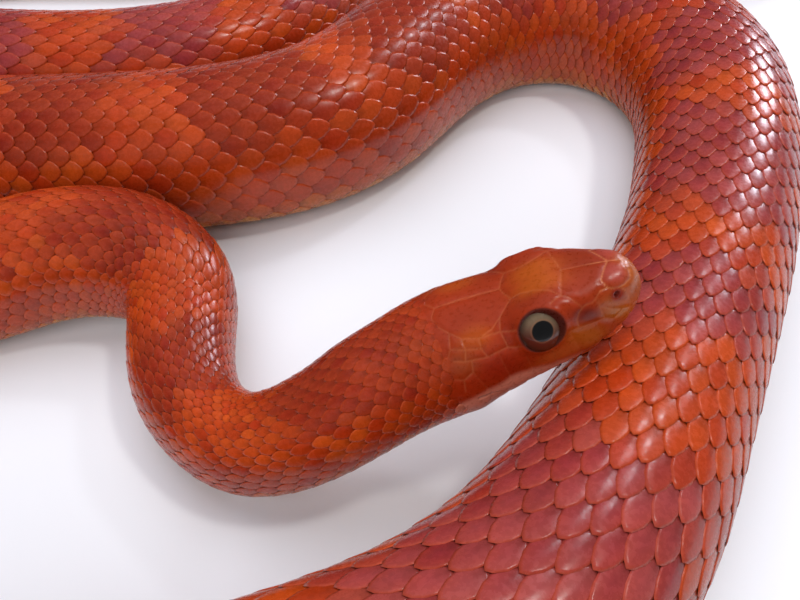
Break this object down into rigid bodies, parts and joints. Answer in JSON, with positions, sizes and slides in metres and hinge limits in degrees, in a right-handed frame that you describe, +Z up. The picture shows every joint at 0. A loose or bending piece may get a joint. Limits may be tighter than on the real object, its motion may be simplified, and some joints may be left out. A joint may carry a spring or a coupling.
{
  "type": "corn snake, lying in loose coils",
  "caption": "Life-size corn snake, red and orange with darker saddles, lying in loose coils on the floor with its neck in an S and its head raised over its own body.",
  "frame": {"origin": "on the floor, at the middle of the rectangle that the snake covers", "axes": "+Z up; the head faces +X, and the front of the pose is towards -Y"},
  "size_m": [0.2628, 0.225, 0.0301],
  "materials": {
    "skin": "smooth overlapping scales, satin with a soft sheen",
    "eye": "clear, wet and glossy"
  },
  "bodies": {
    "root": {"head": "skin", "eye_left": "eye", "eye_right": "eye", "neck": "skin", "trunk_01": "skin", "trunk_02": "skin", "trunk_03": "skin", "trunk_04": "skin", "trunk_05": "skin", "trunk_06": "skin", "trunk_07": "skin", "trunk_08": "skin", "trunk_09": "skin", "trunk_10": "skin", "trunk_11": "skin", "trunk_12": "skin", "trunk_13": "skin", "trunk_14": "skin", "trunk_15": "skin", "trunk_16": "skin", "tail_1": "skin", "tail_2": "skin", "tail_3": "skin"}
  },
  "joints": []
}
